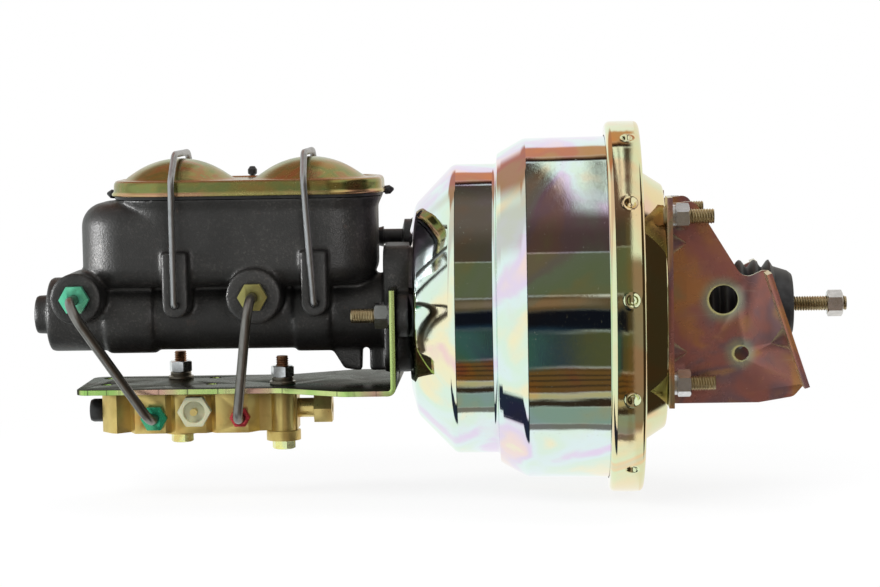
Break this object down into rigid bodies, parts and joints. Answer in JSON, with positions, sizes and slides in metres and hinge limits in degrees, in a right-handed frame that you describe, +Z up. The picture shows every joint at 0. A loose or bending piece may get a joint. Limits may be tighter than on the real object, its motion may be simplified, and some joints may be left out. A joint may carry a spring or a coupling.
{
  "type": "brake booster with master cylinder",
  "caption": "Dual-diaphragm vacuum brake booster with angled firewall bracket, iron tandem master cylinder, domed lid on wire bails and a combination valve on a plate.",
  "frame": {"origin": "the booster's axis crosses the firewall face there, midway between the two bracket flanges", "axes": "+X along the axis towards the pedal, +Z up, -Y the side of the brake ports"},
  "size_m": [0.5021, 0.2288, 0.2288],
  "materials": {
    "gold_zinc": "yellow zinc plating, satin, iridescent",
    "dark_zinc": "olive zinc plating on pressed steel",
    "iron": "as cast, clear coated",
    "lid_gold": "gold-olive passivated",
    "black_rubber": "matte",
    "grey_rubber": "smooth",
    "bright_steel": "clear zinc",
    "spring_steel": "phosphated",
    "brass": "turned",
    "aluminium": "anodised",
    "green": "green plated",
    "red": "red plated",
    "moulding": "phenolic moulding",
    "felt": "pressed felt",
    "black_plastic": "nylon",
    "ivory_nylon": "natural nylon",
    "tube_steel": "galvanised tube"
  },
  "bodies": {
    "housing": {"rear_shell": "gold_zinc", "front_shell": "gold_zinc", "divider": "bright_steel", "divider_seal": "grey_rubber", "neck_seal": "grey_rubber", "nose_seal": "grey_rubber", "rear_diaphragm": "black_rubber", "front_diaphragm": "black_rubber", "return_spring": "spring_steel", "boot": "black_rubber", "check_valve": "black_plastic", "check_valve_grommet": "black_rubber", "rear_studs": "gold_zinc", "rear_washers": "bright_steel", "master_studs": "gold_zinc", "master_washers": "bright_steel", "stud_nuts": "bright_steel", "bracket_half_far": "gold_zinc", "bracket_half_near": "gold_zinc", "master_cylinder": "iron", "primary_spring": "spring_steel", "secondary_spring": "spring_steel", "piston_stop_ring": "bright_steel", "lid_gasket": "black_rubber", "reservoir_lid": "lid_gold", "valve_bracket": "gold_zinc", "valve_body": "brass", "metering_spring": "spring_steel", "valve_cap": "black_rubber", "valve_end_fitting": "brass", "pressure_switch": "ivory_nylon", "switch_terminal": "brass", "valve_bolts": "gold_zinc", "valve_washers": "bright_steel", "valve_nuts": "bright_steel", "front_tube": "tube_steel", "rear_tube": "tube_steel", "green_tube_nuts": "green", "brass_tube_nut": "brass", "red_tube_nut": "red"},
    "pushrod": {"pushrod": "gold_zinc", "pushrod_nut": "bright_steel", "valve_plunger": "bright_steel"},
    "power_piston": {"power_piston": "moulding", "rear_diaphragm_plate": "bright_steel", "front_diaphragm_plate": "bright_steel", "reaction_disc": "grey_rubber", "output_rod": "bright_steel", "output_rod_retainer": "bright_steel", "poppet_valve": "grey_rubber", "input_spring": "spring_steel", "air_filter": "felt"},
    "primary_piston": {"primary_piston": "aluminium", "primary_cups": "grey_rubber"},
    "secondary_piston": {"secondary_piston": "aluminium", "secondary_cups": "grey_rubber"},
    "front_bail": {"front_bail": "dark_zinc"},
    "rear_bail": {"rear_bail": "dark_zinc"},
    "shuttle": {"shuttle_piston": "aluminium"},
    "metering_stem": {"metering_stem": "bright_steel"}
  },
  "joints": [
    {"name": "pushrod_slide", "type": "slide", "parent": "housing", "child": "pushrod", "axis": [-1, 0, 0], "range_m": [0, 0.034], "stiffness_N_per_m": 400, "deforming": ["boot", "input_spring"]},
    {"name": "power_piston_slide", "type": "slide", "parent": "housing", "child": "power_piston", "axis": [-1, 0, 0], "range_m": [0, 0.032], "deforming": ["return_spring", "rear_diaphragm", "front_diaphragm"]},
    {"name": "primary_piston_slide", "type": "slide", "parent": "housing", "child": "primary_piston", "axis": [-1, 0, 0], "range_m": [0, 0.032], "deforming": ["primary_spring"]},
    {"name": "secondary_piston_slide", "type": "slide", "parent": "housing", "child": "secondary_piston", "axis": [-1, 0, 0], "range_m": [0, 0.016], "deforming": ["secondary_spring"]},
    {"name": "front_bail_hinge", "type": "hinge", "parent": "housing", "child": "front_bail", "pos_m": [-0.3658, 0, 0.008], "axis": [0, -1, 0], "range_deg": [0, 65]},
    {"name": "rear_bail_hinge", "type": "hinge", "parent": "housing", "child": "rear_bail", "pos_m": [-0.2812, 0, 0.008], "axis": [0, 1, 0], "range_deg": [0, 40]},
    {"name": "shuttle_slide", "type": "slide", "parent": "housing", "child": "shuttle", "axis": [1, 0, 0], "range_m": [-0.003, 0.003]},
    {"name": "metering_stem_slide", "type": "slide", "parent": "housing", "child": "metering_stem", "axis": [1, 0, 0], "range_m": [0, 0.002], "stiffness_N_per_m": 200, "deforming": ["metering_spring"]}
  ],
  "couplings": [
    {"joint": "power_piston_slide", "follows": "pushrod_slide", "ratio": 0.94118},
    {"joint": "primary_piston_slide", "follows": "pushrod_slide", "ratio": 0.94118},
    {"joint": "secondary_piston_slide", "follows": "pushrod_slide", "ratio": 0.47059}
  ]
}
